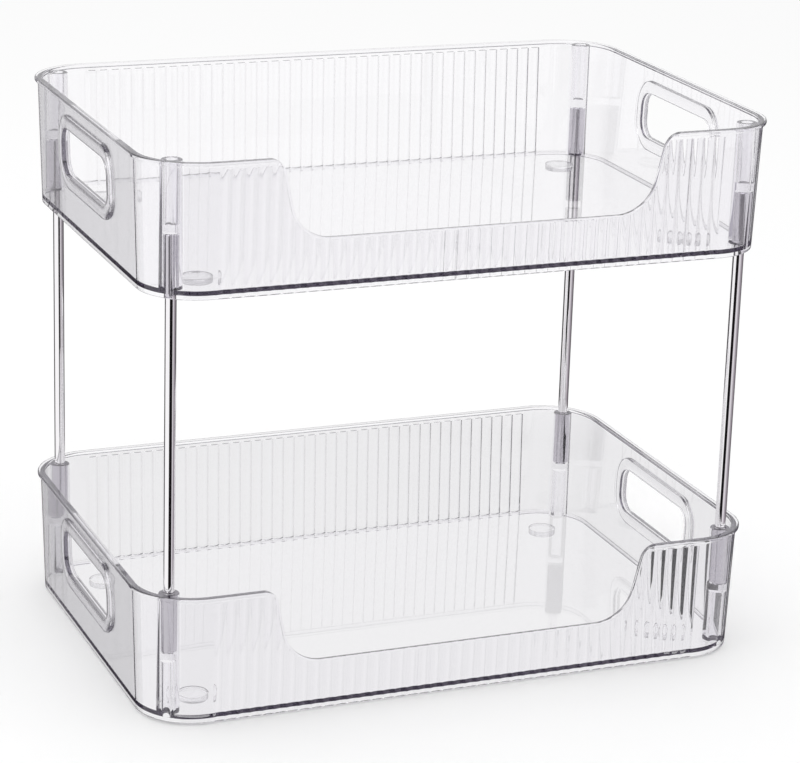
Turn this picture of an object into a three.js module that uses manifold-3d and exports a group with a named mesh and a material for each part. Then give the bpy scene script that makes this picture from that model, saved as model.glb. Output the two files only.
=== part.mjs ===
// Two-tier clear organizer: two moulded trays carried one above the other on four metal rods.
// Millimetres, +Z up. The origin is on the ground, under the middle of the object.
import * as THREE from 'three';
import { mergeVertices } from 'three/addons/utils/BufferGeometryUtils.js';
import Module from 'manifold-3d';

// Tray: overall
const RIM_WIDTH = 298; // left to right over the lip
const RIM_DEPTH = 204; // front to back over the lip
const TRAY_HEIGHT = 60; // base to rim
const TIER_PITCH = 194; // base of the lower tray to base of the upper tray

// Tray: shell
const CORNER_RADIUS = 29; // upright corners, at the lip's edge
const LIP_OUT = 1.4; // lip beyond the wall
const LIP_HEIGHT = 2;
const WALL = 2.2;
const FLOOR = 2;
const FOOT_RIM = 1.8; // the wall runs on this far below the floor
const DRAFT = 1.8; // each wall leans in this much from rim to base
const BASE_ROUND = 0.8; // outer edge of the base
const FLOOR_ROUND = 0.8; // inner edge of the floor

// Scoop in the front wall
const SCOOP_WIDTH = 179; // between the leaning sides, at the rim
const SCOOP_DEPTH = 36; // rim to the bottom of the scoop
const SCOOP_LEAN = 12; // degrees the sides lean from upright
const SCOOP_FOOT_RADIUS = 18; // hollow curve at the bottom of each side
const SCOOP_BROW_RADIUS = 9; // rounded shoulder at the top of each side
const SCOOP_RUNOUT = 0.2; // the shoulders meet the rim this far before they level out

// Flutes down the front and back walls
const FLUTE_PITCH = 5.75;
const FLUTE_LAND = 0.4; // flat ridge between two flutes
const FLUTE_DEPTH = 0.8;
const FLUTE_MARGIN = 1.2; // plain strip under the lip, along the scoop and beside the corners

// Hand holes in the side walls
const HANDLE_WIDTH = 71;
const HANDLE_HEIGHT = 22;
const HANDLE_RISE = 36; // base to the middle of the hole
const HANDLE_RADIUS = 8;
const HANDLE_BORDER = 5.8; // width of the raised frame round the hole
const HANDLE_PROUD = 0.9; // the frame stands out this much on both faces of the wall

// Rods and the corner posts that hold them
const ROD_DIAMETER = 5;
const ROD_CHAMFER = 0.4;
const ROD_CLEARANCE = 0.2; // all round the rod in its socket
const ROD_END_GAP = 0.3; // from each end of the rod to the bottom of its socket
const POST_WALL = 1.9; // at the top of the post
const POST_FLARE = 0.4; // the post's radius grows this much from top to base
const POST_DROP = 0.5; // rim to the top of the post
const POST_BITE = 0.3; // the post sinks this far into the corner at the rim
const POST_WEB = 4; // solid partition between the upper and the lower socket

// Foot pads let into the underside of the floor
const PAD_DIAMETER = 13.5;
const PAD_PROUD = 1; // below the foot rim
const PAD_POCKET = 0.6; // depth of the pocket in the floor
const PAD_INSET = 31; // rim's edge to the pad's centre, both ways
const PAD_CHAMFER = 0.3;
const PAD_GAP = 0.1; // between pad and pocket

// Facets of the round shapes
const CORNER_STEPS = 4; // half the steps of each upright corner
const ROUND_STEPS = 2; // steps of each rounded edge
const SCOOP_STEPS = 4; // half the steps of each curve of the scoop
const HANDLE_STEPS = 3; // half the steps of each corner of a hand hole
const FLUTE_STEPS = 2; // half the steps of each flute
const SOCKET_STEPS = 20;
const PAD_STEPS = 20;
const CUT_PAST = 3; // every cut runs this far past the faces it opens

const QUARTER = Math.PI / 2;
const SIDES = { front: 0, right: QUARTER, back: 2 * QUARTER, left: 3 * QUARTER };
const CORNERS = {
  front_left: [-1, -1],
  front_right: [1, -1],
  rear_left: [-1, 1],
  rear_right: [1, 1],
};

const wasm = await Module();
wasm.setup();

// Solid of a closed geometry, ready to be joined and cut.
function solidOf(geometry) {
  const bare = geometry.clone();
  bare.deleteAttribute('normal');
  bare.deleteAttribute('uv');
  const merged = mergeVertices(bare);
  const vertProperties = new Float32Array(merged.attributes.position.array);
  const triVerts = new Uint32Array(merged.index.array);
  return new wasm.Manifold(new wasm.Mesh({ numProp: 3, vertProperties, triVerts }));
}

// Geometry of a finished solid.
function geometryOf(solid) {
  const mesh = solid.getMesh();
  const geometry = new THREE.BufferGeometry();
  geometry.setAttribute('position', new THREE.BufferAttribute(mesh.vertProperties, 3));
  geometry.setIndex(new THREE.BufferAttribute(mesh.triVerts, 1));
  geometry.computeVertexNormals();
  return geometry;
}

// Outline of the tray seen from above, drawn the given distance inside the lip's edge.
function trayOutline(inset) {
  const x = RIM_WIDTH / 2 - CORNER_RADIUS;
  const y = RIM_DEPTH / 2 - CORNER_RADIUS;
  const radius = CORNER_RADIUS - inset;
  const outline = new THREE.Shape();
  outline.absarc(x, y, radius, 0, QUARTER);
  outline.absarc(-x, y, radius, QUARTER, 2 * QUARTER);
  outline.absarc(-x, -y, radius, 2 * QUARTER, 3 * QUARTER);
  outline.absarc(x, -y, radius, 3 * QUARTER, 4 * QUARTER);
  return outline.getPoints(CORNER_STEPS);
}

// Closed solid through tray outlines stacked upwards. A level is [height, inset].
function stackedOutlines(levels) {
  const outlines = levels.map(([, inset]) => trayOutline(inset));
  const count = outlines[0].length;
  const positions = [];
  const triangles = [];
  outlines.forEach((points, level) => {
    points.forEach((point) => positions.push(point.x, point.y, levels[level][0]));
  });
  for (let level = 0; level < levels.length - 1; level += 1) {
    for (let i = 0; i < count; i += 1) {
      const here = level * count + i;
      const next = level * count + ((i + 1) % count);
      triangles.push(here, next, next + count, here, next + count, here + count);
    }
  }
  const top = (levels.length - 1) * count;
  for (const [a, b, c] of THREE.ShapeUtils.triangulateShape(outlines[0], [])) {
    triangles.push(c, b, a);
    triangles.push(top + a, top + b, top + c);
  }
  const geometry = new THREE.BufferGeometry();
  geometry.setAttribute('position', new THREE.Float32BufferAttribute(positions, 3));
  geometry.setIndex(triangles);
  return solidOf(geometry);
}

// Inset of the wall's outer face at a height above the base.
function wallInset(height) {
  return LIP_OUT + DRAFT * (1 - height / TRAY_HEIGHT);
}

// Levels of a rounded edge that starts flat at the given height and ends on a wall.
function roundedEdge(height, radius, insetAt) {
  const levels = [];
  for (let step = 0; step <= ROUND_STEPS; step += 1) {
    const angle = (QUARTER * step) / ROUND_STEPS;
    const z = height + radius * (1 - Math.cos(angle));
    levels.push([z, insetAt(z) + radius * (1 - Math.sin(angle))]);
  }
  return levels;
}

// Outside of the tray with its lip, without any hollow.
function trayOutside() {
  const underLip = TRAY_HEIGHT - LIP_HEIGHT;
  const base = roundedEdge(0, BASE_ROUND, wallInset);
  return stackedOutlines([...base, [underLip, wallInset(underLip)], [underLip, 0], [TRAY_HEIGHT, 0]]);
}

// Inset of the wall's inner face at a height above the base.
function insideInset(height) {
  return wallInset(height) + WALL;
}

// Space inside the tray, open at the top.
function trayInside() {
  const floor = roundedEdge(FOOT_RIM + FLOOR, FLOOR_ROUND, insideInset);
  const mouth = TRAY_HEIGHT + CUT_PAST;
  return stackedOutlines([...floor, [mouth, insideInset(mouth)]]);
}

// Shallow space under the floor, within the foot rim.
function trayUnder() {
  return stackedOutlines([[-CUT_PAST, insideInset(0)], [FOOT_RIM, insideInset(0)]]);
}

// Places a drawing on a wall: x runs along the wall, y up its slope, z out of its outer face.
function onWall(geometry, side) {
  const across = side === 'front' || side === 'back' ? RIM_DEPTH : RIM_WIDTH;
  const slope = Math.atan(DRAFT / TRAY_HEIGHT);
  geometry.rotateX(QUARTER + slope);
  geometry.translate(0, wallInset(0) - across / 2, 0);
  geometry.rotateZ(SIDES[side]);
  return solidOf(geometry);
}

// Prism of an outline on a wall, between two depths measured outwards from the outer face.
function wallPrism(outline, side, from, to, curveSegments) {
  const settings = { depth: to - from, bevelEnabled: false, curveSegments };
  const geometry = new THREE.ExtrudeGeometry(outline, settings);
  geometry.translate(0, 0, from);
  return onWall(geometry, side);
}

// Scoop seen from the front, widened all round by the given distance.
function scoopOutline(grow) {
  const lean = THREE.MathUtils.degToRad(SCOOP_LEAN);
  const top = TRAY_HEIGHT + SCOOP_RUNOUT;
  const bottom = TRAY_HEIGHT - SCOOP_DEPTH - grow;
  const foot = SCOOP_FOOT_RADIUS + grow;
  const brow = Math.max(SCOOP_BROW_RADIUS - grow, SCOOP_RUNOUT);
  const tangent = Math.tan((QUARTER - lean) / 2);
  const rimX = SCOOP_WIDTH / 2 + grow / Math.cos(lean);
  const footX = rimX - (TRAY_HEIGHT - bottom) * Math.tan(lean) - foot * tangent;
  const browX = rimX + brow * tangent;
  const above = TRAY_HEIGHT + CUT_PAST;
  const outline = new THREE.Shape();
  outline.moveTo(-footX, bottom);
  outline.absarc(footX, bottom + foot, foot, -QUARTER, -lean);
  outline.absarc(browX, top - brow, brow, 2 * QUARTER - lean, QUARTER, true);
  outline.lineTo(browX, above);
  outline.lineTo(-browX, above);
  outline.absarc(-browX, top - brow, brow, QUARTER, lean, true);
  outline.absarc(-footX, bottom + foot, foot, 2 * QUARTER + lean, 3 * QUARTER);
  return outline;
}

function scoop() {
  return wallPrism(scoopOutline(0), 'front', -WALL - CUT_PAST, LIP_OUT + CUT_PAST, SCOOP_STEPS);
}

// Comb that cuts the flutes of a wall: each tooth is a shallow arc, parted from the next by a land.
// The flutes run down past the base.
function fluteComb(side) {
  const flat = RIM_WIDTH - 2 * CORNER_RADIUS - 2 * FLUTE_MARGIN;
  const count = Math.floor((flat + FLUTE_LAND) / FLUTE_PITCH);
  const chord = FLUTE_PITCH - FLUTE_LAND;
  const radius = (chord * chord / 4 + FLUTE_DEPTH * FLUTE_DEPTH) / (2 * FLUTE_DEPTH);
  const half = Math.asin((chord / 2 + FLUTE_LAND / 4) / radius);
  const back = FLUTE_DEPTH - radius + radius * Math.cos(half); // teeth join here, just off the wall
  const end = (count * FLUTE_PITCH) / 2;
  const comb = new THREE.Shape();
  comb.moveTo(end, back - CUT_PAST);
  comb.lineTo(end, back);
  for (let i = count - 1; i >= 0; i -= 1) {
    const x = (i - (count - 1) / 2) * FLUTE_PITCH;
    comb.absarc(x, FLUTE_DEPTH - radius, radius, QUARTER - half, QUARTER + half);
  }
  comb.lineTo(-end, back);
  comb.lineTo(-end, back - CUT_PAST);
  const top = TRAY_HEIGHT - LIP_HEIGHT - FLUTE_MARGIN;
  const settings = { depth: top + CUT_PAST, bevelEnabled: false, curveSegments: FLUTE_STEPS };
  const geometry = new THREE.ExtrudeGeometry(comb, settings);
  geometry.rotateX(-QUARTER);
  geometry.translate(0, -CUT_PAST, 0);
  return onWall(geometry, side);
}

// Flutes of the front wall stop short of the scoop's edge.
function frontFlutes() {
  const reach = FLUTE_DEPTH + 2 * CUT_PAST;
  const keep = wallPrism(scoopOutline(FLUTE_MARGIN), 'front', -reach, reach, SCOOP_STEPS);
  return fluteComb('front').subtract(keep);
}

// Rounded rectangle on a side wall, round the middle of the hand hole.
function handleOutline(grow) {
  const x = HANDLE_WIDTH / 2 - HANDLE_RADIUS;
  const y = HANDLE_HEIGHT / 2 - HANDLE_RADIUS;
  const radius = HANDLE_RADIUS + grow;
  const outline = new THREE.Shape();
  outline.absarc(x, HANDLE_RISE + y, radius, 0, QUARTER);
  outline.absarc(-x, HANDLE_RISE + y, radius, QUARTER, 2 * QUARTER);
  outline.absarc(-x, HANDLE_RISE - y, radius, 2 * QUARTER, 3 * QUARTER);
  outline.absarc(x, HANDLE_RISE - y, radius, 3 * QUARTER, 4 * QUARTER);
  return outline;
}

function handleFrame(side) {
  return wallPrism(handleOutline(HANDLE_BORDER), side, -WALL - HANDLE_PROUD, HANDLE_PROUD, HANDLE_STEPS);
}

function handleHole(side) {
  const reach = WALL + HANDLE_PROUD + CUT_PAST;
  return wallPrism(handleOutline(0), side, -reach, reach, HANDLE_STEPS);
}

// Upright round bar between two heights, thicker at the bottom by the flare.
function bar(x, y, from, to, radius, flare, segments) {
  const geometry = new THREE.CylinderGeometry(radius, radius + flare, to - from, segments);
  geometry.rotateX(QUARTER);
  geometry.translate(x, y, (from + to) / 2);
  return solidOf(geometry);
}

// Posts stand on the diagonals of the rounded corners and lean on the wall.
const SOCKET_RADIUS = ROD_DIAMETER / 2 + ROD_CLEARANCE;
const POST_RADIUS = SOCKET_RADIUS + POST_WALL;
const POST_REACH = (CORNER_RADIUS - LIP_OUT - WALL + POST_BITE - POST_RADIUS) * Math.SQRT1_2;
const POST_X = RIM_WIDTH / 2 - CORNER_RADIUS + POST_REACH;
const POST_Y = RIM_DEPTH / 2 - CORNER_RADIUS + POST_REACH;
const WEB_BOTTOM = (TRAY_HEIGHT - POST_WEB) / 2;
const WEB_TOP = WEB_BOTTOM + POST_WEB;
const PAD_X = RIM_WIDTH / 2 - PAD_INSET;
const PAD_Y = RIM_DEPTH / 2 - PAD_INSET;

function post([signX, signY]) {
  const bottom = FOOT_RIM + FLOOR / 2;
  const top = TRAY_HEIGHT - POST_DROP;
  return bar(signX * POST_X, signY * POST_Y, bottom, top, POST_RADIUS, POST_FLARE, SOCKET_STEPS);
}

// Upper and lower socket of a post, parted by the web.
function sockets([signX, signY]) {
  const x = signX * POST_X;
  const y = signY * POST_Y;
  const upper = bar(x, y, WEB_TOP, TRAY_HEIGHT + CUT_PAST, SOCKET_RADIUS, 0, SOCKET_STEPS);
  const lower = bar(x, y, -CUT_PAST, WEB_BOTTOM, SOCKET_RADIUS, 0, SOCKET_STEPS);
  return upper.add(lower);
}

function padPocket([signX, signY]) {
  const radius = PAD_DIAMETER / 2 + PAD_GAP;
  const top = FOOT_RIM + PAD_POCKET;
  return bar(signX * PAD_X, signY * PAD_Y, -CUT_PAST, top, radius, 0, PAD_STEPS);
}

// One moulding: shell, lip, foot rim, posts, hand-hole frames, scoop and flutes.
function trayGeometry() {
  const outside = trayOutside();
  let tray = outside.subtract(trayInside()).subtract(trayUnder());
  for (const corner of Object.values(CORNERS)) {
    tray = tray.add(post(corner).intersect(outside));
  }
  for (const side of ['left', 'right']) {
    tray = tray.add(handleFrame(side)).subtract(handleHole(side));
  }
  tray = tray.subtract(scoop()).subtract(frontFlutes()).subtract(fluteComb('back'));
  for (const corner of Object.values(CORNERS)) {
    tray = tray.subtract(sockets(corner)).subtract(padPocket(corner));
  }
  return geometryOf(tray);
}

// Round piece on the Z axis, standing on zero, with both rims chamfered.
function chamferedBar(diameter, length, chamfer, segments) {
  const radius = diameter / 2;
  const profile = [
    [0, 0],
    [radius - chamfer, 0],
    [radius, chamfer],
    [radius, length - chamfer],
    [radius - chamfer, length],
    [0, length],
  ].map(([x, y]) => new THREE.Vector2(x, y));
  const geometry = new THREE.LatheGeometry(profile, segments);
  geometry.rotateX(QUARTER);
  return geometry;
}

function clearPlastic() {
  const looks = { color: 0xe6e4ee, roughness: 0.06, metalness: 0, transparent: true, opacity: 0.35 };
  return new THREE.MeshStandardMaterial(looks);
}

function chromedSteel() {
  return new THREE.MeshStandardMaterial({ color: 0xd6d4da, roughness: 0.08, metalness: 1 });
}

function clearSilicone() {
  const looks = { color: 0xf0f0f4, roughness: 0.4, metalness: 0, transparent: true, opacity: 0.6 };
  return new THREE.MeshStandardMaterial(looks);
}

function namedMesh(name, geometry, material, x, y, z) {
  const mesh = new THREE.Mesh(geometry, material);
  mesh.name = name;
  mesh.position.set(x, y, z);
  return mesh;
}

const trayShape = trayGeometry();
const padThickness = PAD_PROUD + FOOT_RIM + PAD_POCKET - PAD_GAP;
const padShape = chamferedBar(PAD_DIAMETER, padThickness, PAD_CHAMFER, PAD_STEPS);
const rodBottom = WEB_TOP + ROD_END_GAP;
const rodTop = TIER_PITCH + WEB_BOTTOM - ROD_END_GAP;
const rodShape = chamferedBar(ROD_DIAMETER, rodTop - rodBottom, ROD_CHAMFER, SOCKET_STEPS);

// A tray with its four pads, standing on the tray's base.
function tier(name, height) {
  const assembly = new THREE.Group();
  assembly.add(namedMesh(`${name}_tray`, trayShape, clearPlastic(), 0, 0, 0));
  for (const [corner, [signX, signY]] of Object.entries(CORNERS)) {
    const x = signX * PAD_X;
    const y = signY * PAD_Y;
    assembly.add(namedMesh(`${name}_pad_${corner}`, padShape, clearSilicone(), x, y, -PAD_PROUD));
  }
  assembly.position.z = height;
  return assembly;
}

// The four rods, from the webs of the lower tray to the webs of the upper one.
function rods() {
  const assembly = new THREE.Group();
  for (const [corner, [signX, signY]] of Object.entries(CORNERS)) {
    const x = signX * POST_X;
    const y = signY * POST_Y;
    assembly.add(namedMesh(`rod_${corner}`, rodShape, chromedSteel(), x, y, rodBottom));
  }
  assembly.position.z = PAD_PROUD;
  return assembly;
}

const organizer = new THREE.Group();
organizer.add(tier('lower', PAD_PROUD));
organizer.add(rods());
organizer.add(tier('upper', PAD_PROUD + TIER_PITCH));

export default organizer;
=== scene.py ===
# Looks of a two-tier clear organizer: moulded trays, chromed rods and soft foot pads.
import math
from collections import namedtuple

import bmesh
import bpy
from mathutils import Matrix, Vector


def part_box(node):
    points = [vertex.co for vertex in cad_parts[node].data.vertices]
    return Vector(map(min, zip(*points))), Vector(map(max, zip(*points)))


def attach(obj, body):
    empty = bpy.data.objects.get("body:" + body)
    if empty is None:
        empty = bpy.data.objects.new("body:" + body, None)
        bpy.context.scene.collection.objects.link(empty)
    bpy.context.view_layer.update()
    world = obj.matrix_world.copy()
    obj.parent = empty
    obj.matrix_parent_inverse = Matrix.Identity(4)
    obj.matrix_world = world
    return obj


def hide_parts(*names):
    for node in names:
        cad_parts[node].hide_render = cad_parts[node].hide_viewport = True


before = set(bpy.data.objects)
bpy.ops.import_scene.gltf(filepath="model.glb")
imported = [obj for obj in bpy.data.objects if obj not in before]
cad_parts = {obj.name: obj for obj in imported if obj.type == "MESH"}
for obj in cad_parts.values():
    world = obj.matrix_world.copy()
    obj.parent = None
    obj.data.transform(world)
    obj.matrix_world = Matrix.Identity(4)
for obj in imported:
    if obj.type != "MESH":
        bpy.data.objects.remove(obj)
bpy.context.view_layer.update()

MM = 0.001  # pieces are drawn in millimetres and brought to metres at the end

# Sizes taken from the frame
TRAY_LOW, TRAY_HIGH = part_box("lower_tray")
RIM_WIDTH, RIM_DEPTH, TRAY_HEIGHT = (TRAY_HIGH - TRAY_LOW) / MM
TIER_PITCH = (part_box("upper_tray")[0].z - TRAY_LOW.z) / MM
ROD_LOW, ROD_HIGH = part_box("rod_rear_right")
ROD_RADIUS = (ROD_HIGH.x - ROD_LOW.x) / 2 / MM
ROD_LENGTH = (ROD_HIGH.z - ROD_LOW.z) / MM
POST_X, POST_Y = ((ROD_LOW + ROD_HIGH) / 2 / MM).xy
PAD_LOW, PAD_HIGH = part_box("lower_pad_rear_right")
PAD_RADIUS = (PAD_HIGH.x - PAD_LOW.x) / 2 / MM
PAD_THICK = (PAD_HIGH.z - PAD_LOW.z) / MM
PAD_X, PAD_Y = ((PAD_LOW + PAD_HIGH) / 2 / MM).xy
PAD_DROP = (TRAY_LOW.z - PAD_LOW.z) / MM  # the pad stands this far below the tray's base

# Tray shell, as on the solids
CORNER_RADIUS = 29
LIP_OUT = 1.4
LIP_HEIGHT = 2
WALL = 2.2
FLOOR = 2
FOOT_RIM = 1.8
DRAFT = 1.8
BASE_ROUND = 0.8
FLOOR_PLATE_INSET = 23  # the flat middle of the floor starts this far inside the rim
STRAIGHT_X = RIM_WIDTH / 2 - CORNER_RADIUS
STRAIGHT_Y = RIM_DEPTH / 2 - CORNER_RADIUS

# Scoop, as on the solids
SCOOP_WIDTH = 179
SCOOP_DEPTH = 36
SCOOP_LEAN = math.radians(12)
SCOOP_FOOT_RADIUS = 18
SCOOP_BROW_RADIUS = 9
SCOOP_RUNOUT = 0.2

# Flutes, as on the solids
FLUTE_PITCH = 5.75
FLUTE_LAND = 0.4
FLUTE_DEPTH = 0.8
FLUTE_MARGIN = 1.2
FLUTE_COUNT = 41

# Hand holes, as on the solids
HANDLE_WIDTH = 71
HANDLE_HEIGHT = 22
HANDLE_RISE = 36
HANDLE_RADIUS = 8
HANDLE_BORDER = 5.8
HANDLE_PROUD = 0.9
HANDLE_CLEAR = 4  # plain wall kept round the frame

# Posts and pad pockets, as on the solids, and sockets that hold the rods more closely
PUSH_FIT = 0.02  # the socket is this much tighter than the rod
SOCKET_RADIUS = ROD_RADIUS - PUSH_FIT
POST_SLEEVE = 2.1
POST_RADIUS = ROD_RADIUS + POST_SLEEVE
POST_FLARE = 0.3
POST_LEAN = 1.5  # the foot moves inwards by this many flares
POST_DROP = 0.5
POST_WEB = 4
PAD_POCKET = 0.6
PAD_GAP = 0.1

# Soft edges of the moulding and of the small pieces
EDGE_ROUND = 0.8
FLOOR_ROUND = 0.3  # where the wall meets the floor
LIP_ROUND = 0.7
LIP_FILLET = 0.3
RIM_FOOT_ROUND = 0.4  # inner edge of the foot rim
FLUTE_END = 0.2  # length over which a flute runs out under the rim
FRAME_ROUND = 0.25
FRAME_CROWN = 0.2  # the frames' faces are slightly domed
ROD_ROUND = 0.5
ROD_SEAT = 27.5  # length of a rod inside a socket
PAD_ROUND = 0.45
SOCKET_ROUND = 0.3

# Fineness of the round shapes
CORNER_STEPS = 18
ROUND_STEPS = 4
FILLET_STEPS = 2
FLUTE_STEPS = 10
CROWN_STEPS = 6
POST_STEPS = 56
ROD_STEPS = 64
SHARP_ANGLE = math.radians(40)

CUT_PAST = 3
MERGE = 1e-3
CORNERS = {"front_left": (-1, -1), "front_right": (1, -1), "rear_left": (-1, 1), "rear_right": (1, 1)}
TIERS = {"lower": "lower_tier", "upper": "upper_tier"}

# A row of the tray's section: inset from the rim's edge, height over the base, whether the flutes
# cut it, and for rows by the rim the distance under the scoop's edge and across the wall.
Row = namedtuple("Row", "inset height fluted edge across")


def wall_inset(height):
    return LIP_OUT + DRAFT * (1 - height / TRAY_HEIGHT)


def arc(centre, radius, start, end, steps=ROUND_STEPS):
    """Points of an arc, with angles in degrees."""
    points = []
    for step in range(steps + 1):
        angle = math.radians(start + (end - start) * step / steps)
        points.append((centre[0] + radius * math.cos(angle), centre[1] + radius * math.sin(angle)))
    return points


def tray_rows():
    """Section of the tray's wall, from the underside over the rim to the floor."""
    under_lip = TRAY_HEIGHT - LIP_HEIGHT
    flute_top = under_lip - FLUTE_MARGIN
    rows = [Row(FLOOR_PLATE_INSET, FOOT_RIM, False, None, None)]
    inside = wall_inset(0) + WALL
    rows.append(Row(inside, FOOT_RIM, False, None, None))
    for inset, height in arc((inside - RIM_FOOT_ROUND, RIM_FOOT_ROUND), RIM_FOOT_ROUND, 360, 270):
        rows.append(Row(inset, height, False, None, None))
    for inset, height in arc((wall_inset(BASE_ROUND) + BASE_ROUND, BASE_ROUND), BASE_ROUND, 270, 180):
        rows.append(Row(inset, height, True, None, None))
    for below, fluted in ((FLUTE_END, True), (0, False)):
        height = flute_top - below
        rows.append(Row(wall_inset(height), height, fluted, FLUTE_MARGIN + below, 0))
    fillet_centre = (wall_inset(under_lip - LIP_FILLET) - LIP_FILLET, under_lip - LIP_FILLET)
    lip = arc(fillet_centre, LIP_FILLET, 0, 90, FILLET_STEPS)
    lip += arc((LIP_ROUND, under_lip + LIP_ROUND), LIP_ROUND, 270, 180)
    lip += arc((LIP_ROUND, TRAY_HEIGHT - LIP_ROUND), LIP_ROUND, 180, 90)
    for i, (inset, height) in enumerate(lip):
        turn = math.pi / 2 * i / (len(lip) - 1)
        edge = EDGE_ROUND * (1 - math.sin(turn))
        rows.append(Row(inset, height, False, edge, EDGE_ROUND * (1 - math.cos(turn))))
    mouth = wall_inset(TRAY_HEIGHT) + WALL
    for inset, height in arc((mouth - EDGE_ROUND, TRAY_HEIGHT - EDGE_ROUND), EDGE_ROUND, 90, 0):
        rows.append(Row(inset, height, False, TRAY_HEIGHT - height, WALL - mouth + inset))
    foot = FOOT_RIM + FLOOR + FLOOR_ROUND
    for inset, height in arc((wall_inset(foot) + WALL + FLOOR_ROUND, foot), FLOOR_ROUND, 180, 270):
        rows.append(Row(inset, height, False, None, None))
    rows.append(Row(FLOOR_PLATE_INSET, FOOT_RIM + FLOOR, False, None, None))
    return rows


def scoop_height(x, grow):
    """Height of the scoop's outline over the base, with the outline widened by grow."""
    bottom = TRAY_HEIGHT - SCOOP_DEPTH - grow
    foot = SCOOP_FOOT_RADIUS + grow
    brow = max(SCOOP_BROW_RADIUS - grow, SCOOP_RUNOUT)
    tangent = math.tan((math.pi / 2 - SCOOP_LEAN) / 2)
    rim_x = SCOOP_WIDTH / 2 + grow / math.cos(SCOOP_LEAN)
    foot_x = rim_x - (TRAY_HEIGHT - bottom) * math.tan(SCOOP_LEAN) - foot * tangent
    brow_x = rim_x + brow * tangent
    along = abs(x)
    if along <= foot_x:
        return bottom
    if along <= foot_x + foot * math.cos(SCOOP_LEAN):
        return bottom + foot - math.sqrt(foot**2 - (along - foot_x) ** 2)
    if along <= brow_x - brow * math.cos(SCOOP_LEAN):
        return TRAY_HEIGHT - (rim_x - along) / math.tan(SCOOP_LEAN)
    if along < brow_x:
        return TRAY_HEIGHT + SCOOP_RUNOUT - brow + math.sqrt(brow**2 - (brow_x - along) ** 2)
    return TRAY_HEIGHT + SCOOP_RUNOUT


def scooped(row, x):
    """Inset and height of a row of the front wall, with the scoop taken out."""
    if row.edge is None:
        return row.inset, row.height
    if row.edge > EDGE_ROUND + MERGE:
        height = min(row.height, scoop_height(x, row.edge))
        return wall_inset(height), height
    top = min(scoop_height(x, 0), TRAY_HEIGHT)
    gone = min((TRAY_HEIGHT - top) / LIP_HEIGHT, 1)
    share = gone * gone * (3 - 2 * gone)
    under_lip = TRAY_HEIGHT - LIP_HEIGHT
    lip_height = row.height
    if lip_height > under_lip:
        lip_height = under_lip + (lip_height - under_lip) * (1 - gone)
    cut_height = min(scoop_height(x, row.edge), TRAY_HEIGHT)
    cut_inset = wall_inset(cut_height) + row.across
    return row.inset + (cut_inset - row.inset) * share, lip_height + (cut_height - lip_height) * share


def flute_depth(x):
    """Depth of the flutes at a place along the wall."""
    chord = FLUTE_PITCH - FLUTE_LAND
    index = round(x / FLUTE_PITCH)
    off = abs(x - index * FLUTE_PITCH)
    if abs(index) > FLUTE_COUNT // 2 or off >= chord / 2:
        return 0
    radius = (chord**2 / 4 + FLUTE_DEPTH**2) / (2 * FLUTE_DEPTH)
    return FLUTE_DEPTH - radius + math.sqrt(radius**2 - off**2)


def flute_columns():
    """Places across half of a fluted wall, from its corner to the middle."""
    chord = FLUTE_PITCH - FLUTE_LAND
    places = []
    for index in range(FLUTE_COUNT // 2, -1, -1):
        places.append((index + 0.5) * FLUTE_PITCH)
        for step in range(FLUTE_STEPS + 1):
            places.append(index * FLUTE_PITCH + chord * (0.5 - step / FLUTE_STEPS))
    return [x for x in places if x > -MERGE]


def chain(bm, points):
    """Open chain of edges through the points."""
    verts = [bm.verts.new(point) for point in points]
    return [bm.edges.new(pair) for pair in zip(verts, verts[1:])]


def ends_of(edges):
    return list({vert for edge in edges for vert in edge.verts})


def drawn_out(bm, edges, offset):
    """Extrudes a chain by an offset and gives the far chain."""
    made = bmesh.ops.extrude_edge_only(bm, edges=edges)["geom"]
    far = {item for item in made if isinstance(item, bmesh.types.BMVert)}
    bmesh.ops.translate(bm, verts=list(far), vec=offset)
    return [e for e in {e for vert in far for e in vert.link_edges} if set(e.verts) <= far]


def turned(bm, edges, centre, steps=CORNER_STEPS):
    """Turns a chain by a quarter about an upright axis and gives the far chain."""
    geom = ends_of(edges) + list(edges)
    made = bmesh.ops.spin(
        bm, geom=geom, cent=centre, axis=(0, 0, 1), angle=math.pi / 2, steps=steps, use_merge=False
    )
    return [item for item in made["geom_last"] if isinstance(item, bmesh.types.BMEdge)]


def mirrored(bm, axis):
    """Adds the mirror image of all that is drawn so far."""
    geom = bm.verts[:] + bm.edges[:] + bm.faces[:]
    bmesh.ops.mirror(bm, geom=geom, matrix=Matrix.Identity(4), merge_dist=0, axis=axis)
    bmesh.ops.remove_doubles(bm, verts=bm.verts[:], dist=MERGE)


def open_edges(bm):
    return [edge for edge in bm.edges if edge.is_boundary]


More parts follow.
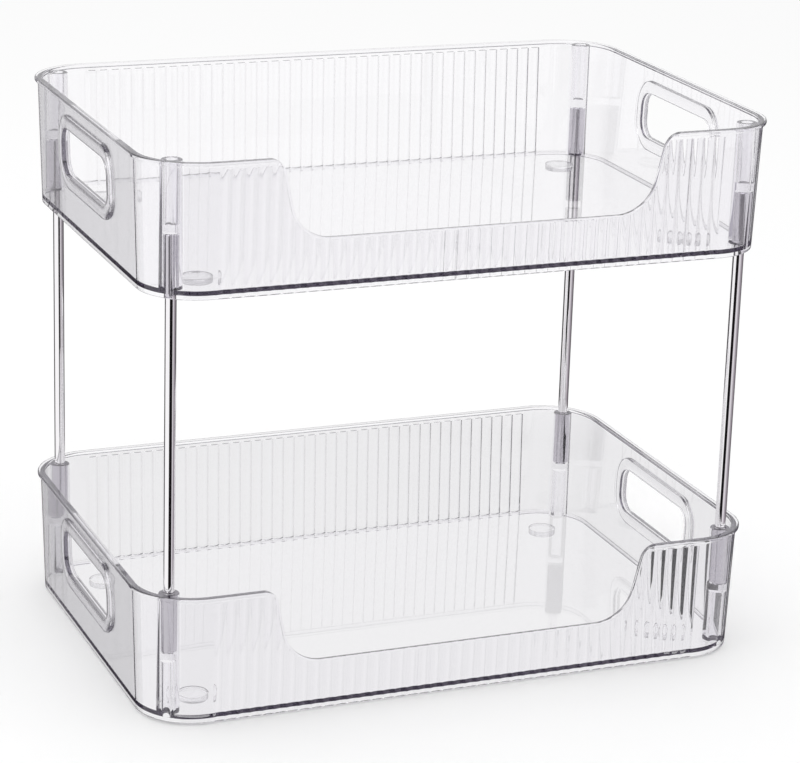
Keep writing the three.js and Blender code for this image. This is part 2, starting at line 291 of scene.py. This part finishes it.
def tray_wall(bm):
    """Sweeps the section round the tray and closes the floor."""
    rows = tray_rows()
    mark = bm.verts.layers.int.new("row")
    start_x = RIM_WIDTH / 2
    section = chain(bm, [(start_x - row.inset, STRAIGHT_Y, row.height) for row in rows])
    for index, vert in enumerate(bm.verts):
        vert[mark] = index
    handle_end = HANDLE_WIDTH / 2 + HANDLE_BORDER + HANDLE_CLEAR
    beside = drawn_out(bm, section, (0, handle_end - STRAIGHT_Y, 0))
    drawn_out(bm, beside, (0, -handle_end, 0))
    behind = turned(bm, section, (STRAIGHT_X, STRAIGHT_Y, 0))
    place = STRAIGHT_X
    for x in flute_columns():
        behind = drawn_out(bm, behind, (x - place, 0, 0))
        place = x
    mirrored(bm, "X")
    mirrored(bm, "Y")
    for vert in bm.verts:
        if abs(vert.co.x) > STRAIGHT_X + MERGE:
            continue
        row = rows[vert[mark]]
        inset, height = row.inset, row.height
        if vert.co.y < 0:
            inset, height = scooped(row, vert.co.x)
        if row.fluted:
            inset = max(inset, wall_inset(height) + flute_depth(vert.co.x))
        vert.co.y = math.copysign(RIM_DEPTH / 2 - inset, vert.co.y)
        vert.co.z = height
    bmesh.ops.holes_fill(bm, edges=open_edges(bm), sides=0)


def frame_rows():
    """Section of a hand hole's frame: distance from the hole, and height off the outer face."""
    half = [(HANDLE_BORDER + FRAME_ROUND, 0)]
    half += arc((HANDLE_BORDER + FRAME_ROUND, FRAME_ROUND), FRAME_ROUND, 270, 180)[1:]
    half += arc((HANDLE_BORDER - FRAME_ROUND, HANDLE_PROUD - FRAME_ROUND), FRAME_ROUND, 0, 90)
    for step in range(1, CROWN_STEPS):
        share = step / CROWN_STEPS
        away = HANDLE_BORDER - FRAME_ROUND - share * (HANDLE_BORDER - 2 * FRAME_ROUND)
        half.append((away, HANDLE_PROUD + 4 * FRAME_CROWN * share * (1 - share)))
    half += arc((FRAME_ROUND, HANDLE_PROUD - FRAME_ROUND), FRAME_ROUND, 90, 180)
    return half + [(away, -WALL - proud) for away, proud in reversed(half)]


def draw_frame(bm):
    """Ring round the right hand hole, drawn flat and then stood up on the leaning wall."""
    corner = (HANDLE_WIDTH / 2 - HANDLE_RADIUS, HANDLE_HEIGHT / 2 - HANDLE_RADIUS, 0)
    section = chain(
        bm, [(corner[0] + HANDLE_RADIUS + away, corner[1], proud) for away, proud in frame_rows()]
    )
    drawn_out(bm, section, (0, -corner[1], 0))
    drawn_out(bm, turned(bm, section, corner, CORNER_STEPS // 2), (-corner[0], 0, 0))
    mirrored(bm, "X")
    mirrored(bm, "Y")
    place = Matrix.Translation((RIM_WIDTH / 2 - wall_inset(0), 0, 0))
    lean = Matrix.Rotation(math.atan(DRAFT / TRAY_HEIGHT), 4, "Y")
    upright = Matrix(((0, 0, 1, 0), (1, 0, 0, 0), (0, 1, 0, HANDLE_RISE), (0, 0, 0, 1)))
    bmesh.ops.transform(bm, matrix=place @ lean @ upright, verts=bm.verts[:])


def hand_hole(bm, ring, side):
    """Opens one side wall and sets the framed hole into it."""
    reach = HANDLE_WIDTH / 2 + HANDLE_BORDER + HANDLE_CLEAR + MERGE
    gone = []
    for face in bm.faces:
        heights = [vert.co.z for vert in face.verts]
        tall = max(heights) - min(heights) > TRAY_HEIGHT / 2
        middle = face.calc_center_median()
        if tall and middle.x * side > STRAIGHT_X and abs(middle.y) < reach:
            gone.append(face)
    bmesh.ops.delete(bm, geom=gone, context="FACES")
    old = set(bm.verts)
    bm.from_mesh(ring)
    if side < 0:
        fresh = [vert for vert in bm.verts if vert not in old]
        bmesh.ops.scale(bm, vec=(-1, 1, 1), verts=fresh)
    edges = open_edges(bm)
    for outside in (True, False):
        rims = [edge for edge in edges if is_outside(edge) == outside]
        bmesh.ops.triangle_fill(bm, use_beauty=True, use_dissolve=False, edges=rims)


def is_outside(edge):
    """Whether an edge on a side wall lies on its outer face."""
    middle = (edge.verts[0].co + edge.verts[1].co) / 2
    return RIM_WIDTH / 2 - abs(middle.x) < wall_inset(middle.z) + WALL / 2


def lathe(bm, points, steps, x=0, y=0):
    """Full turn of a profile of (radius, height) points about an upright axis."""
    edges = chain(bm, [(x + radius, y, height) for radius, height in points])
    bmesh.ops.spin(
        bm, geom=ends_of(edges) + edges, cent=(x, y, 0), axis=(0, 0, 1), angle=2 * math.pi,
        steps=steps, use_merge=True,
    )


def closed(bm):
    """Merges seams and turns the faces outwards."""
    bmesh.ops.remove_doubles(bm, verts=bm.verts[:], dist=MERGE)
    bmesh.ops.dissolve_degenerate(bm, dist=MERGE / 10, edges=bm.edges[:])
    bmesh.ops.recalc_face_normals(bm, faces=bm.faces[:])


def posts(bm):
    """Corner posts. Each leans on the wall, so its flare goes towards the tray's middle."""
    top = TRAY_HEIGHT - POST_DROP
    for sign_x, sign_y in CORNERS.values():
        old = set(bm.verts)
        rim = arc((POST_RADIUS - SOCKET_ROUND, top - SOCKET_ROUND), SOCKET_ROUND, 0, 90)
        foot = FOOT_RIM + FLOOR / 2
        lathe(bm, [(0, foot), (POST_RADIUS + POST_FLARE, foot), *rim, (0, top)], POST_STEPS)
        for vert in [v for v in bm.verts if v not in old]:
            sunk = POST_FLARE * POST_LEAN * (top - vert.co.z) / top * math.sqrt(0.5)
            vert.co.x += sign_x * (POST_X - sunk)
            vert.co.y += sign_y * (POST_Y - sunk)


def pockets(bm):
    """Sockets above and below the web of each post, and the pads' pockets."""
    web_bottom = (TRAY_HEIGHT - POST_WEB) / 2
    top = TRAY_HEIGHT - POST_DROP
    wide = SOCKET_RADIUS + SOCKET_ROUND
    mouth = [(SOCKET_RADIUS, top - SOCKET_ROUND), (wide, top), (wide, top + CUT_PAST)]
    for sign_x, sign_y in CORNERS.values():
        x, y = sign_x * POST_X, sign_y * POST_Y
        web_top = web_bottom + POST_WEB
        lathe(bm, [(0, web_top), (SOCKET_RADIUS, web_top), *mouth, (0, top + CUT_PAST)], POST_STEPS, x, y)
        below = [(0, -CUT_PAST), (SOCKET_RADIUS, -CUT_PAST), (SOCKET_RADIUS, web_bottom), (0, web_bottom)]
        lathe(bm, below, POST_STEPS, x, y)
        radius = PAD_RADIUS + PAD_GAP
        high = FOOT_RIM + PAD_POCKET
        pocket = [(0, -CUT_PAST), (radius, -CUT_PAST), (radius, high), (0, high)]
        lathe(bm, pocket, POST_STEPS, sign_x * PAD_X, sign_y * PAD_Y)


def mesh_of(name, draw):
    """Mesh in millimetres, drawn by a function."""
    bm = bmesh.new()
    draw(bm)
    closed(bm)
    mesh = bpy.data.meshes.new(name)
    bm.to_mesh(mesh)
    bm.free()
    return mesh


def solid_object(name, mesh):
    piece = bpy.data.objects.new(name, mesh)
    bpy.context.scene.collection.objects.link(piece)
    return piece


def draw_shell(bm):
    tray_wall(bm)
    bmesh.ops.recalc_face_normals(bm, faces=bm.faces[:])
    ring = mesh_of("ring", draw_frame)
    for side in (1, -1):
        hand_hole(bm, ring, side)
    bpy.data.meshes.remove(ring)


def tray_mesh():
    """One moulding: the shell, joined with its posts and cut by its sockets and pockets."""
    shell = solid_object("shell", mesh_of("shell", draw_shell))
    tools = []
    for name, draw, operation in (("posts", posts, "UNION"), ("pockets", pockets, "DIFFERENCE")):
        tool = solid_object(name, mesh_of(name, draw))
        cut = shell.modifiers.new(name, "BOOLEAN")
        cut.operation = operation
        cut.solver = "MANIFOLD"
        cut.object = tool
        tools.append(tool)
    graph = bpy.context.evaluated_depsgraph_get()
    mesh = bpy.data.meshes.new_from_object(shell.evaluated_get(graph))
    for piece in (shell, *tools):
        bpy.data.meshes.remove(piece.data)
    mesh.name = "tray"
    return mesh


def finished(name, mesh, lift, material, body, node):
    """Places a mesh of millimetres in the frame as a piece that stands for a CAD node."""
    mesh = mesh.copy()
    mesh.name = name
    bm = bmesh.new()
    bm.from_mesh(mesh)
    bmesh.ops.translate(bm, verts=bm.verts[:], vec=lift)
    bmesh.ops.scale(bm, vec=(MM, MM, MM), verts=bm.verts[:])
    for face in bm.faces:
        face.smooth = True
    for edge in bm.edges:
        edge.smooth = edge.calc_face_angle(0) < SHARP_ANGLE
    bm.to_mesh(mesh)
    bm.free()
    mesh.materials.clear()
    mesh.materials.append(material)
    piece = solid_object(name, mesh)
    shading = piece.modifiers.new("flat faces stay flat", "WEIGHTED_NORMAL")
    shading.keep_sharp = True
    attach(piece, body)
    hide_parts(node)
    return piece


def draw_bar(radius, length, edge, steps):
    """Upright round bar with rounded ends."""

    def draw(bm):
        bottom = arc((radius - edge, edge), edge, 270, 360)
        top = arc((radius - edge, length - edge), edge, 0, 90)
        lathe(bm, [(0, 0), *bottom, *top, (0, length)], steps)

    return draw


# Materials

# Size of the waves, least and most roughness, and height of the waves in metres
Finish = namedtuple("Finish", "waves smoothest haziest bump")
PLASTIC_FINISH = Finish(55, 0, 0.03, 4e-6)
SILICONE_FINISH = Finish(120, 0.03, 0.12, 6e-6)
CHROME_FINISH = Finish(90, 0.02, 0.07, 2e-6)
WAVE_DETAIL = 1.5
HAZE_SCALE = 18
HAZE_DETAIL = 5
HAZE_FROM, HAZE_TO = 0.35, 0.75  # part of the noise that the roughness follows
FRAME_SATIN = 0.1  # roughness of the frames' faces
PLASTIC_COLOUR = (0.992, 0.988, 1, 1)
PLASTIC_IOR = 1.5
PLASTIC_SHADOW = (0.995, 0.994, 0.996, 1)
DEPTH_COLOUR = (0.42, 0.38, 0.48, 1)  # light takes this on along its way through the plastic
DEPTH_DENSITY = 16
SILICONE_COLOUR = (0.99, 0.99, 0.995, 1)
SILICONE_IOR = 1.41
SILICONE_SHADOW = (0.98, 0.98, 0.985, 1)
CHROME_COLOUR = (0.93, 0.915, 0.935, 1)
# Painted shade: darker tone on the rods' ends that sit inside the sockets
SEATED_SHADE_COLOUR = (0.64, 0.62, 0.66, 1)


def new_material(name):
    material = bpy.data.materials.new(name)
    material.use_nodes = True
    return material, material.node_tree


def fill(tree, node, inputs):
    """Sets a node's inputs to plain values, or links them to other nodes' outputs."""
    for name, value in inputs.items():
        if isinstance(value, bpy.types.NodeSocket):
            tree.links.new(value, node.inputs[name])
        else:
            node.inputs[name].default_value = value


def put(tree, kind, inputs=None, **settings):
    """Adds a node with its settings and inputs."""
    node = tree.nodes.new(f"ShaderNode{kind}")
    for name, value in settings.items():
        setattr(node, name, value)
    fill(tree, node, inputs or {})
    return node


def reckon(tree, operation, *values):
    """Result of one sum, on plain numbers or on other nodes' outputs."""
    return put(tree, "Math", dict(enumerate(values)), operation=operation).outputs["Value"]


def ramp(tree, value, start, end, low=0, high=1):
    """Value brought from one range to another and kept inside it."""
    inputs = {"Value": value, "From Min": start, "From Max": end, "To Min": low, "To Max": high}
    return put(tree, "MapRange", inputs).outputs["Result"]


def object_place(tree):
    return put(tree, "TexCoord").outputs["Object"]


def show(tree, share, first, second):
    """Makes a material show the first shader, and by a share the second."""
    mix = put(tree, "MixShader", {"Fac": share, 1: first, 2: second})
    fill(tree, tree.nodes["Material Output"], {"Surface": mix.outputs["Shader"]})


def moulding_group():
    """Faint waviness and haze of a moulded surface, as a roughness and a height."""
    group = bpy.data.node_groups.new("moulded surface", "ShaderNodeTree")
    for name in ("Scale", "Smoothest", "Haziest"):
        group.interface.new_socket(name, in_out="INPUT", socket_type="NodeSocketFloat")
    for name in ("Roughness", "Height"):
        group.interface.new_socket(name, in_out="OUTPUT", socket_type="NodeSocketFloat")
    given = group.nodes.new("NodeGroupInput").outputs
    place = object_place(group)
    waves = put(group, "TexNoise", {"Vector": place, "Scale": given["Scale"], "Detail": WAVE_DETAIL})
    haze = put(group, "TexNoise", {"Vector": place, "Scale": HAZE_SCALE, "Detail": HAZE_DETAIL})
    roughness = ramp(
        group, haze.outputs["Fac"], HAZE_FROM, HAZE_TO, given["Smoothest"], given["Haziest"]
    )
    result = group.nodes.new("NodeGroupOutput")
    fill(group, result, {"Roughness": roughness, "Height": waves.outputs["Fac"]})
    return group


def frame_band_group():
    """Mask of the satin faces of the hand holes' frames, the same on both tiers."""
    group = bpy.data.node_groups.new("frame band", "ShaderNodeTree")
    group.interface.new_socket("Mask", in_out="OUTPUT", socket_type="NodeSocketFloat")

    def past(value, limit):
        over = reckon(group, "SUBTRACT", value, limit * MM)
        return reckon(group, "POWER", reckon(group, "MAXIMUM", over, 0), 2)

    parts = put(group, "SeparateXYZ", {"Vector": object_place(group)}).outputs
    rise = reckon(group, "SUBTRACT", parts["Z"], TRAY_LOW.z)
    rise = reckon(group, "FLOORED_MODULO", rise, TIER_PITCH * MM)
    rise = reckon(group, "ABSOLUTE", reckon(group, "SUBTRACT", rise, HANDLE_RISE * MM))
    along = reckon(group, "ABSOLUTE", parts["Y"])
    past_rise = past(rise, HANDLE_HEIGHT / 2 - HANDLE_RADIUS)
    past_along = past(along, HANDLE_WIDTH / 2 - HANDLE_RADIUS)
    reach = reckon(group, "POWER", reckon(group, "ADD", past_rise, past_along), 0.5)
    away = reckon(group, "SUBTRACT", reach, HANDLE_RADIUS * MM)
    inner = ramp(group, away, FRAME_ROUND * MM, 2 * FRAME_ROUND * MM)
    outer = ramp(group, away, (HANDLE_BORDER - FRAME_ROUND) * MM, (HANDLE_BORDER - 2 * FRAME_ROUND) * MM)
    result = group.nodes.new("NodeGroupOutput")
    fill(group, result, {"Mask": reckon(group, "MULTIPLY", inner, outer)})
    return group


def surface(tree, group, finish):
    """Puts the shared surface effect on a material's shader."""
    shader = tree.nodes["Principled BSDF"]
    given = {"Scale": finish.waves, "Smoothest": finish.smoothest, "Haziest": finish.haziest}
    effect = put(tree, "Group", given, node_tree=group)
    height = effect.outputs["Height"]
    bump = put(tree, "Bump", {"Strength": 1, "Distance": finish.bump, "Height": height})
    fill(tree, shader, {"Roughness": effect.outputs["Roughness"], "Normal": bump.outputs["Normal"]})
    return shader


def lets_light_through(tree, shader, tint):
    """Light falls through a clear piece onto what lies behind it."""
    clear = put(tree, "BsdfTransparent", {"Color": tint})
    shadow = put(tree, "LightPath").outputs["Is Shadow Ray"]
    show(tree, shadow, shader.outputs["BSDF"], clear.outputs["BSDF"])


def clear_plastic(group):
    """Clear moulded plastic with satin frames, a little darker where light goes far through it."""
    material, tree = new_material("clear_plastic")
    shader = surface(tree, group, PLASTIC_FINISH)
    polished = shader.inputs["Roughness"].links[0].from_socket
    band = put(tree, "Group", node_tree=frame_band_group())
    finish = put(tree, "Mix", {"Factor": band.outputs["Mask"], "A": polished, "B": FRAME_SATIN})
    fill(tree, shader, {"Base Color": PLASTIC_COLOUR, "Roughness": finish.outputs["Result"]})
    fill(tree, shader, {"IOR": PLASTIC_IOR, "Transmission Weight": 1})
    depth = put(tree, "VolumeAbsorption", {"Color": DEPTH_COLOUR, "Density": DEPTH_DENSITY})
    fill(tree, tree.nodes["Material Output"], {"Volume": depth.outputs["Volume"]})
    lets_light_through(tree, shader, PLASTIC_SHADOW)
    return material


def clear_silicone(group):
    """Clear soft silicone, slightly hazy."""
    material, tree = new_material("clear_silicone")
    shader = surface(tree, group, SILICONE_FINISH)
    fill(tree, shader, {"Base Color": SILICONE_COLOUR, "IOR": SILICONE_IOR, "Transmission Weight": 1})
    lets_light_through(tree, shader, SILICONE_SHADOW)
    return material


def chrome(group):
    """Bright chrome, with painted shade darkening the ends that sit in the sockets."""
    material, tree = new_material("chromed_steel")
    shader = surface(tree, group, CHROME_FINISH)
    height = put(tree, "SeparateXYZ", {"Vector": object_place(tree)}).outputs["Z"]
    away = reckon(tree, "ABSOLUTE", reckon(tree, "SUBTRACT", height, (ROD_LOW.z + ROD_HIGH.z) / 2))
    end = (ROD_HIGH.z - ROD_LOW.z) / 2
    # Painted shade: mask of the rods' ends that sit inside the sockets
    painted_shade_ends = ramp(tree, away, end - ROD_SEAT * MM, end - (ROD_SEAT - 1) * MM)
    ends = {"Factor": painted_shade_ends, "A": CHROME_COLOUR, "B": SEATED_SHADE_COLOUR}
    tone = put(tree, "Mix", ends, data_type="RGBA")
    fill(tree, shader, {"Base Color": tone.outputs["Result"], "Metallic": 1})
    return material


# Pieces

moulded = moulding_group()
PLASTIC = clear_plastic(moulded)
SILICONE = clear_silicone(moulded)
CHROME = chrome(moulded)

TRAY = tray_mesh()
ROD = mesh_of("rod", draw_bar(ROD_RADIUS, ROD_LENGTH, ROD_ROUND, ROD_STEPS))
PAD = mesh_of("pad", draw_bar(PAD_RADIUS, PAD_THICK, PAD_ROUND, POST_STEPS))
for tier, body in TIERS.items():
    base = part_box(f"{tier}_tray")[0].z / MM
    finished(f"clear_tray_{tier}", TRAY, (0, 0, base), PLASTIC, body, f"{tier}_tray")
    for corner, (sign_x, sign_y) in CORNERS.items():
        spot = (sign_x * PAD_X, sign_y * PAD_Y, base - PAD_DROP)
        node = f"{tier}_pad_{corner}"
        finished(f"foot_pad_{tier}_{corner}", PAD, spot, SILICONE, body, node)
for corner, (sign_x, sign_y) in CORNERS.items():
    spot = (sign_x * POST_X, sign_y * POST_Y, ROD_LOW.z / MM)
    finished(f"chrome_rod_{corner}", ROD, spot, CHROME, "rods", f"rod_{corner}")
for mesh in (TRAY, ROD, PAD):
    bpy.data.meshes.remove(mesh)

# Camera, at the photograph's angle
CAMERA_AIM = Vector((18.8, 29.2, 106.4)) * MM
CAMERA_DISTANCE = 1441.7 * MM
CAMERA_AZIMUTH = math.radians(-22.32)
CAMERA_ELEVATION = math.radians(17.95)
CAMERA_ROLL = math.radians(1.79)
CAMERA_LENS = 134.03

# Floor, in metres
FLOOR_REACH = 4
FLOOR_STEPS = 96
FLOOR_COLOUR = (0.93, 0.93, 0.93, 1)
FLOOR_ROUGHNESS = 0.9
SHADE_TONE = 0.87  # painted shadow: tone of the glowing floor under and near the object, seen through clear pieces
SHADE_REACH = 0.28
WHITE_REACH = 0.5
TURNED_TONE = 0.5  # tone of floor and surroundings for light that was turned twice on its way
TURNED_TWICE = 1.5  # lies between one turn and two

# Upright screens, seen in reflections. Bearings in degrees: 0 is the front, 90 the right, 180 the back
SCREEN_REACH = 2
SCREEN_FOOT = -1.5
SCREEN_TOP = 0.1
SCREEN_STEPS = 24
SCREENS = (
    ("pale_screen_right", -8, 38, (0.74, 0.71, 0.74, 1)),
    ("grey_screen_right", 38, 62, (0.4, 0.37, 0.4, 1)),
    ("dim_screen_right", 62, 90, (0.27, 0.24, 0.27, 1)),
    ("dark_screen_rear", 90, 238, (0.09, 0.085, 0.09, 1)),
)

# Card in front, black in the rods and less so in the rods' ends behind the plastic
FRONT_CARD = ((-0.3, -0.32), (0.09, -0.6))
FRONT_CARD_TOP = 0.25
BLACK_CARD_COLOUR = (0.01, 0.009, 0.01, 1)
DIM_CARD_COLOUR = (0.17, 0.16, 0.175, 1)

# Cards on the floor at the right, seen through two walls: left edge, width and colour
TWO_WALLS = 4  # faces of two walls, one behind the other
GROUND_CARD_LIFT = 0.0008
DARK_CARD_LINE = ((0.148, -0.09), (0.148, -0.058), (0.166, -0.026), (0.181, 0.002), (0.203, 0.042))
GREY_CARD_LINE = ((0.36, -0.2), (0.4, 0.1), (0.46, 0.26), (0.5, 0.33))
GROUND_CARDS = (
    ("dark_card_right", DARK_CARD_LINE, 0.065, (0.01, 0.009, 0.011, 1)),
    ("grey_card_right", GREY_CARD_LINE, 0.5, (0.4, 0.38, 0.44, 1)),
)

# Lamp
SOFTBOX_PLACE = Vector((-0.6, -0.6, 1.6))
SOFTBOX_AIM = Vector((0, 0, 0.1))
SOFTBOX_SIDE = 1.2
SOFTBOX_WATTS = 6


def add_camera():
    flat = math.cos(CAMERA_ELEVATION)
    across, along = math.sin(CAMERA_AZIMUTH) * flat, -math.cos(CAMERA_AZIMUTH) * flat
    back = Vector((across, along, math.sin(CAMERA_ELEVATION)))
    turn = (-back).to_track_quat("-Z", "Y").to_matrix().to_4x4() @ Matrix.Rotation(CAMERA_ROLL, 4, "Z")
    data = bpy.data.cameras.new("camera")
    data.lens = CAMERA_LENS
    camera = bpy.data.objects.new("camera", data)
    camera.matrix_world = Matrix.Translation(CAMERA_AIM + back * CAMERA_DISTANCE) @ turn
    bpy.context.scene.collection.objects.link(camera)
    bpy.context.scene.camera = camera


def stage_object(name, draw, material):
    """A thing of the studio, which is not part of the object."""
    bm = bmesh.new()
    draw(bm)
    mesh = bpy.data.meshes.new(name)
    bm.to_mesh(mesh)
    bm.free()
    mesh.materials.append(material)
    thing = solid_object(name, mesh)
    return thing


def draw_floor(bm):
    bmesh.ops.create_circle(bm, cap_ends=True, radius=FLOOR_REACH, segments=FLOOR_STEPS)


def draw_screen(start, end):
    """Upright screen round the object, from one bearing to another, seen from the front."""

    def draw(bm):
        first = math.radians(start)
        x, y = SCREEN_REACH * math.sin(first), -SCREEN_REACH * math.cos(first)
        edges = chain(bm, [(x, y, SCREEN_FOOT), (x, y, SCREEN_TOP)])
        bmesh.ops.spin(
            bm, geom=ends_of(edges) + edges, cent=(0, 0, 0), axis=(0, 0, 1),
            angle=math.radians(end - start), steps=SCREEN_STEPS,
        )

    return draw


def draw_front_card(bm):
    edges = chain(bm, [(x, y, SCREEN_FOOT) for x, y in FRONT_CARD])
    drawn_out(bm, edges, (0, 0, FRONT_CARD_TOP - SCREEN_FOOT))


def draw_ground_card(line, width):
    """Card that lies on the floor, to the right of a line from front to back."""

    def draw(bm):
        drawn_out(bm, chain(bm, [(x, y, GROUND_CARD_LIFT) for x, y in line]), (width, 0, 0))

    return draw


def dim_where_turned(tree):
    """Strength of the white studio: light turned twice inside a clear piece finds less of it."""
    path = put(tree, "LightPath").outputs
    turns = reckon(tree, "GREATER_THAN", path["Glossy Depth"], TURNED_TWICE)
    inside = reckon(tree, "MULTIPLY", turns, path["Is Transmission Ray"])
    return reckon(tree, "MULTIPLY_ADD", inside, TURNED_TONE - 1, 1)


def add_floor():
    """White floor. Through clear pieces it glows white too, with a painted shadow that dims it close to
    the object.
    """
    material, tree = new_material("pale_floor")
    shader = tree.nodes["Principled BSDF"]
    fill(tree, shader, {"Base Color": FLOOR_COLOUR, "Roughness": FLOOR_ROUGHNESS, "Specular IOR Level": 0})
    reach = put(tree, "VectorMath", {0: object_place(tree)}, operation="LENGTH").outputs["Value"]
    # Painted shadow: the floor's glow fades to a darker tone close to the object
    fade = ramp(tree, reach, SHADE_REACH, WHITE_REACH, SHADE_TONE)
    pale = put(tree, "Emission", {"Strength": reckon(tree, "MULTIPLY", fade, dim_where_turned(tree))})
    through = put(tree, "LightPath").outputs["Is Transmission Ray"]
    show(tree, through, shader.outputs["BSDF"], pale.outputs["Emission"])
    floor = stage_object("floor", draw_floor, material)
    floor.visible_glossy = False


def glowing(name, colour, counted="Transmission Depth", least=0):
    """Material of one even tone, shown where light has passed, or been turned by, enough faces."""
    material, tree = new_material(name)
    tree.nodes.remove(tree.nodes["Principled BSDF"])
    count = put(tree, "LightPath").outputs[counted]
    enough = reckon(tree, "GREATER_THAN", count, least - 0.5)
    clear = put(tree, "BsdfTransparent")
    glow = put(tree, "Emission", {"Color": colour})
    show(tree, enough, clear.outputs["BSDF"], glow.outputs["Emission"])
    return material


def add_card(name, draw, material, in_reflections):
    """Card that is seen only in reflections, or else only through clear pieces."""
    card = stage_object(name, draw, material)
    card.visible_camera = False
    card.visible_diffuse = False
    card.visible_shadow = False
    card.visible_glossy = in_reflections
    card.visible_transmission = not in_reflections


def add_screens():
    for name, start, end, colour in SCREENS:
        add_card(name, draw_screen(start, end), glowing(name, colour), True)
    black = glowing("black_card_front", BLACK_CARD_COLOUR)
    add_card("black_card_front", draw_front_card, black, True)
    dim = glowing("dim_card_front", DIM_CARD_COLOUR, "Glossy Depth", 1)
    add_card("dim_card_front", draw_front_card, dim, False)
    for name, line, width, colour in GROUND_CARDS:
        behind_walls = glowing(name, colour, "Transmission Depth", TWO_WALLS)
        add_card(name, draw_ground_card(line, width), behind_walls, False)


def add_world():
    world = bpy.data.worlds.new("studio")
    bpy.context.scene.world = world
    world.use_nodes = True
    tree = world.node_tree
    background = {"Color": (1, 1, 1, 1), "Strength": dim_where_turned(tree)}
    fill(tree, tree.nodes["Background"], background)


def add_softbox():
    data = bpy.data.lights.new("softbox", "AREA")
    data.size = SOFTBOX_SIDE
    data.energy = SOFTBOX_WATTS
    lamp = bpy.data.objects.new("softbox", data)
    turn = (SOFTBOX_AIM - SOFTBOX_PLACE).to_track_quat("-Z", "Y").to_matrix().to_4x4()
    lamp.matrix_world = Matrix.Translation(SOFTBOX_PLACE) @ turn
    bpy.context.scene.collection.objects.link(lamp)


add_camera()
add_floor()
add_screens()
add_world()
add_softbox()

# Light is turned many times inside the floor plates before it leaves them
scene = bpy.context.scene
scene.view_settings.view_transform = "Standard"
scene.cycles.max_bounces = 72
scene.cycles.transmission_bounces = 48
scene.cycles.glossy_bounces = 64
scene.cycles.transparent_max_bounces = 48
